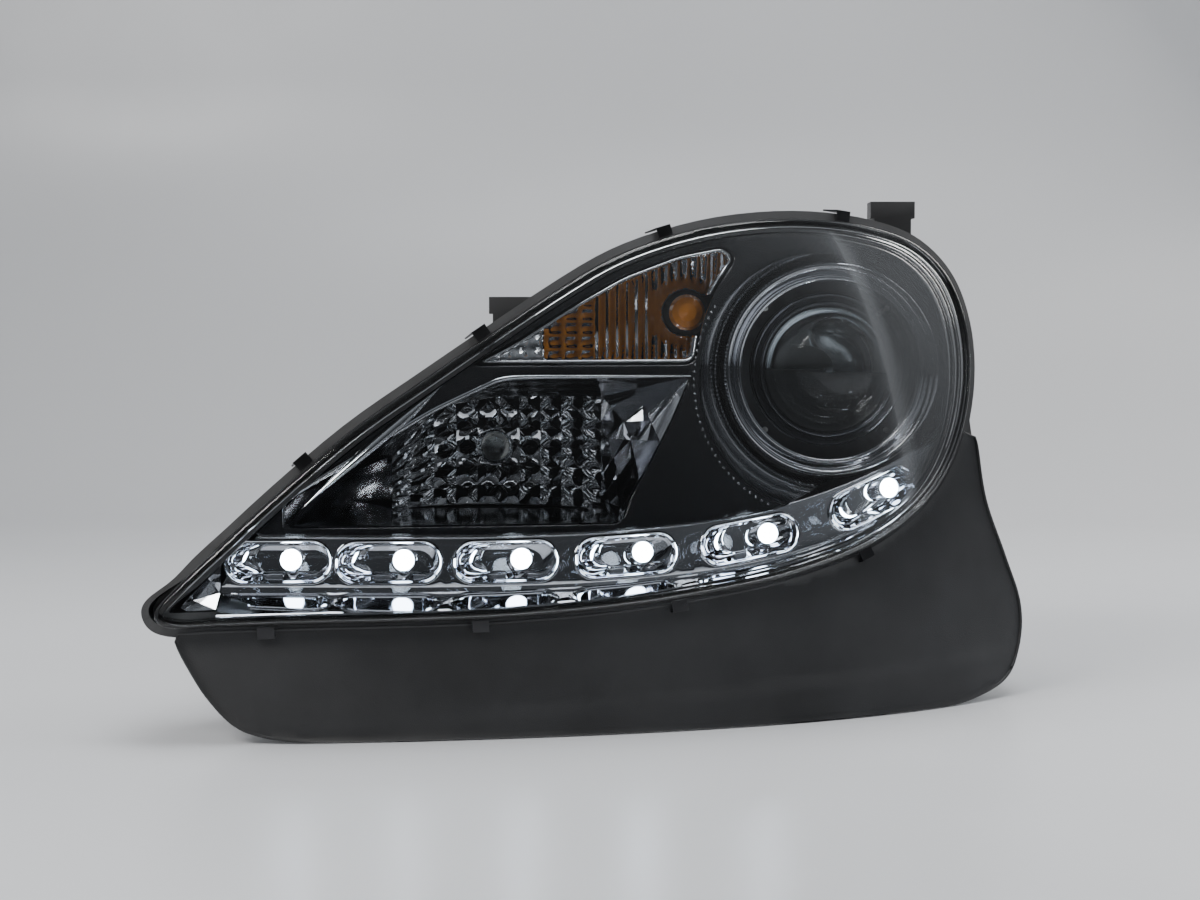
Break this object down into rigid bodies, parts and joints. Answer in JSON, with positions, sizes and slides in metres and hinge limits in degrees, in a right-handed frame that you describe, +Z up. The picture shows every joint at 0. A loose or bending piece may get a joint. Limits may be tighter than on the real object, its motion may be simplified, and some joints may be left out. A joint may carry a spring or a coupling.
{
  "type": "car headlight assembly",
  "caption": "Left-hand car headlight: clear swept lens over a projector low beam, faceted high beam, turn signal and daytime LED strip, in a black housing with aiming gear",
  "frame": {"origin": "centre of the middle foot's flat pad on the resting plane, straight below the low beam axis", "axes": "+X outboard, -Y forward (the way the light shines), +Z up, as the headlight sits in the car"},
  "size_m": [0.4369, 0.3278, 0.2625],
  "materials": {
    "clear_lens": "clear hard-coated polycarbonate",
    "housing_black": "fine-grained black moulding",
    "bezel_dark": "gloss black, satin in the recesses",
    "bright_chrome": "vacuum metallised",
    "satin_metal": "bright zinc plated steel",
    "black_rubber": "moulded rubber",
    "clear_glass": "clear glass",
    "amber_glass": "amber bulb glass",
    "die_cast": "die-cast aluminium",
    "grey_plastic": "glass-filled grey plastic",
    "white_plastic": "natural acetal plastic",
    "board_green": "white solder mask on aluminium-backed board",
    "led_emitter": "lit cool-white emitter",
    "led_optic": "frosted optic, lit",
    "brass_pin": "tin-brass",
    "lens_glass": "pressed glass",
    "beige_cap": "black moulded cap"
  },
  "bodies": {
    "lamp_housing": {"housing": "housing_black", "mount_bushes": "satin_metal", "outer_lens": "clear_lens", "lens_seal": "black_rubber", "lens_clips": "satin_metal", "bezel": "bezel_dark", "high_beam_surround": "bright_chrome", "projector_trim_ring": "bright_chrome", "led_strip_reflector": "bright_chrome", "led_board": "board_green", "led_chips": "led_emitter", "led_lenses": "led_optic", "turn_reflector": "bright_chrome", "levelling_motor": "grey_plastic", "motor_seal": "black_rubber", "motor_screws": "satin_metal", "strip_screws": "satin_metal", "driver_screws": "satin_metal", "led_driver": "die_cast", "main_connector": "housing_black", "connector_pins": "brass_pin", "breather_cap": "black_rubber", "wiring_harness": "black_rubber", "pivot_ball_stud": "satin_metal"},
    "aim_pivot": {"pivot_socket": "white_plastic"},
    "carrier": {"carrier_frame": "grey_plastic", "projector_lens": "lens_glass", "projector_lens_holder": "die_cast", "projector_reflector": "die_cast", "projector_shield": "satin_metal", "low_beam_bulb_glass": "clear_glass", "low_beam_bulb_base": "satin_metal", "low_beam_socket": "grey_plastic", "high_beam_reflector": "bright_chrome", "high_beam_bulb_glass": "clear_glass", "high_beam_bulb_base": "satin_metal", "high_beam_socket": "grey_plastic", "projector_screws": "satin_metal", "high_beam_screws": "satin_metal"},
    "low_clip": {"low_beam_bulb_clip": "satin_metal"},
    "high_clip": {"high_beam_bulb_clip": "satin_metal"},
    "levelling_rod": {"levelling_spindle": "white_plastic"},
    "hand_wheel": {"vertical_adjuster_wheel": "white_plastic"},
    "side_screw": {"horizontal_adjuster_screw": "satin_metal"},
    "side_knob": {"horizontal_adjuster_knob": "white_plastic"},
    "low_cap": {"low_beam_cap": "beige_cap"},
    "high_cap": {"high_beam_cap": "beige_cap"},
    "turn_bulb": {"turn_bulb_glass": "amber_glass", "turn_bulb_base": "satin_metal", "turn_bulb_holder": "grey_plastic", "turn_holder_seal": "black_rubber"}
  },
  "joints": [
    {"name": "beam_tilt", "type": "hinge", "parent": "lamp_housing", "child": "aim_pivot", "pos_m": [-0.12, 0.04, 0.095], "axis": [1, 0, 0], "range_deg": [-2.5, 2.5]},
    {"name": "beam_swing", "type": "hinge", "parent": "aim_pivot", "child": "carrier", "pos_m": [-0.12, 0.04, 0.095], "axis": [0, 0, 1], "range_deg": [-2.5, 2.5]},
    {"name": "levelling_travel", "type": "slide", "parent": "lamp_housing", "child": "levelling_rod", "axis": [0, 1, 0], "range_m": [-0.0044, 0.0044]},
    {"name": "hand_wheel_turn", "type": "hinge", "parent": "lamp_housing", "child": "hand_wheel", "pos_m": [-0.108, 0.12, 0.179], "axis": [0, 1, 0], "range_deg": [-725, 725]},
    {"name": "side_adjust_travel", "type": "slide", "parent": "lamp_housing", "child": "side_screw", "axis": [0, 1, 0], "range_m": [-0.00485, 0.00485]},
    {"name": "side_knob_turn", "type": "hinge", "parent": "lamp_housing", "child": "side_knob", "pos_m": [-0.23, 0.08, 0.095], "axis": [0, 1, 0], "range_deg": [-725, 725]},
    {"name": "low_clip_open", "type": "hinge", "parent": "carrier", "child": "low_clip", "pos_m": [-0.019, 0.1042, 0.172], "axis": [0, 0, 1], "range_deg": [0, 95]},
    {"name": "high_clip_open", "type": "hinge", "parent": "carrier", "child": "high_clip", "pos_m": [-0.195, 0.0082, 0.132], "axis": [0, 0, 1], "range_deg": [0, 95]},
    {"name": "low_cap_off", "type": "slide", "parent": "lamp_housing", "child": "low_cap", "axis": [0, 1, 0], "range_m": [0, 0.04]},
    {"name": "high_cap_off", "type": "slide", "parent": "lamp_housing", "child": "high_cap", "axis": [0, 1, 0], "range_m": [0, 0.04]},
    {"name": "turn_bulb_twist", "type": "hinge", "parent": "lamp_housing", "child": "turn_bulb", "pos_m": [-0.076, 0.02, 0.202], "axis": [0, 1, 0], "range_deg": [0, 45]}
  ],
  "couplings": [
    {"joint": "levelling_travel", "follows": "beam_tilt", "m_per_rad": -0.1},
    {"joint": "hand_wheel_turn", "follows": "beam_tilt", "ratio": 288},
    {"joint": "side_adjust_travel", "follows": "beam_swing", "m_per_rad": -0.11},
    {"joint": "side_knob_turn", "follows": "beam_swing", "ratio": 288}
  ]
}
